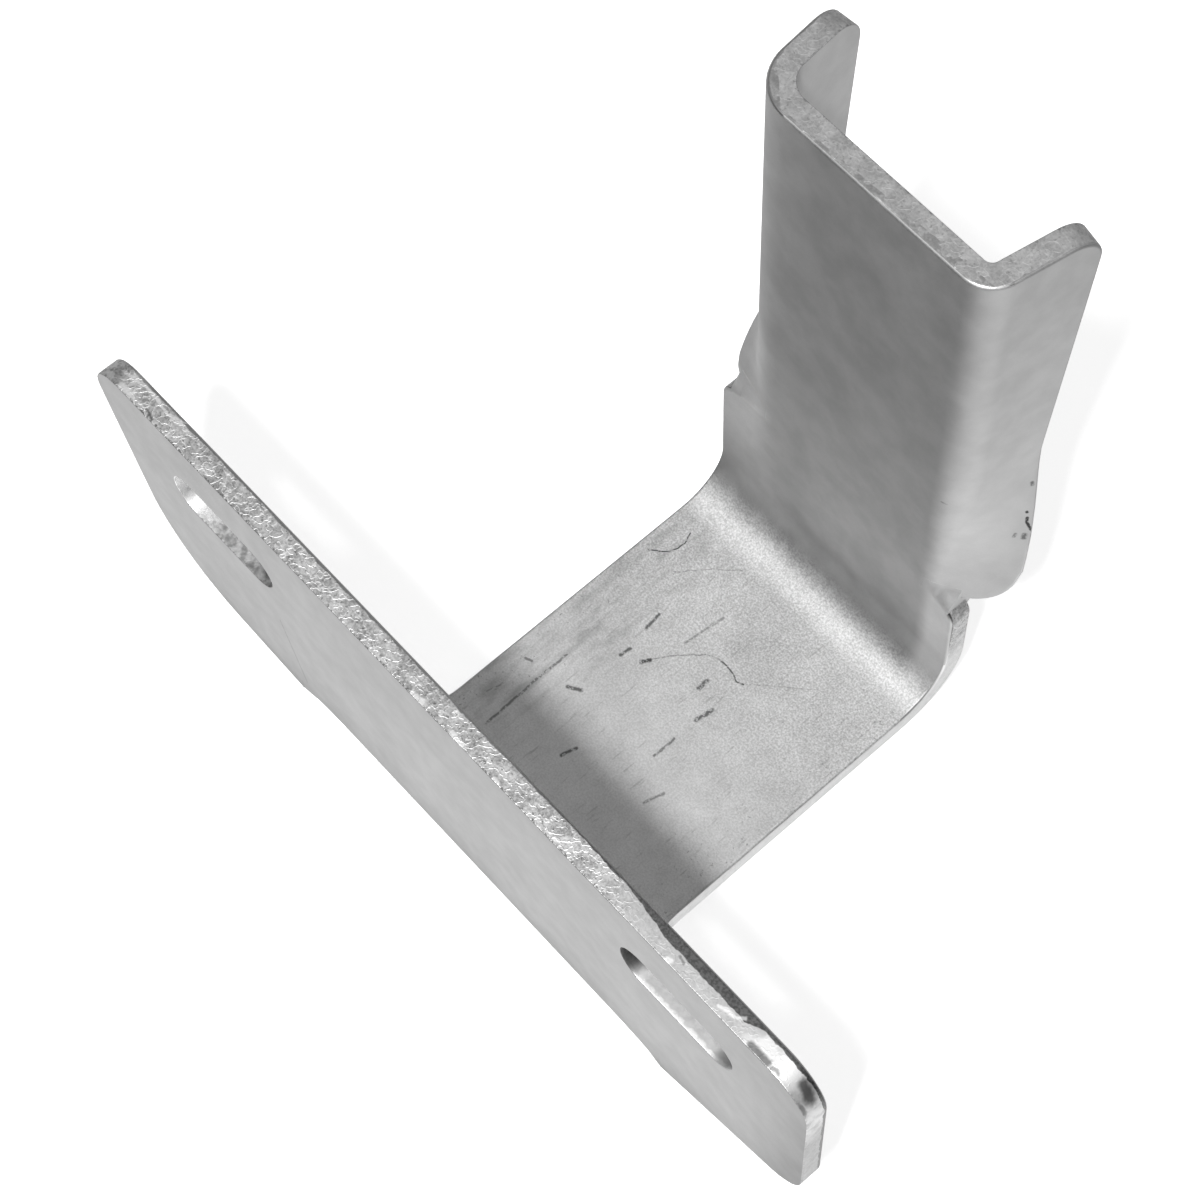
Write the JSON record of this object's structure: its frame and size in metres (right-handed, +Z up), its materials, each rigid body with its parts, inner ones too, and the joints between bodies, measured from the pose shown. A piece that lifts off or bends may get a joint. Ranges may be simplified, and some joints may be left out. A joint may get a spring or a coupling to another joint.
{
  "type": "muffler bracket",
  "caption": "Zinc-plated steel bracket folded from flat sheet: slotted plate, short strap and upright channel with flared ears.",
  "frame": {"origin": "middle of the two slots, on the plate's front face", "axes": "+X along the plate towards its square end, +Y from the plate's front face towards the channel, +Z up along the channel"},
  "size_m": [0.1153, 0.0701, 0.089],
  "materials": {
    "zinc_plated_steel": "satin"
  },
  "bodies": {
    "root": {"bracket": "zinc_plated_steel"}
  },
  "joints": []
}
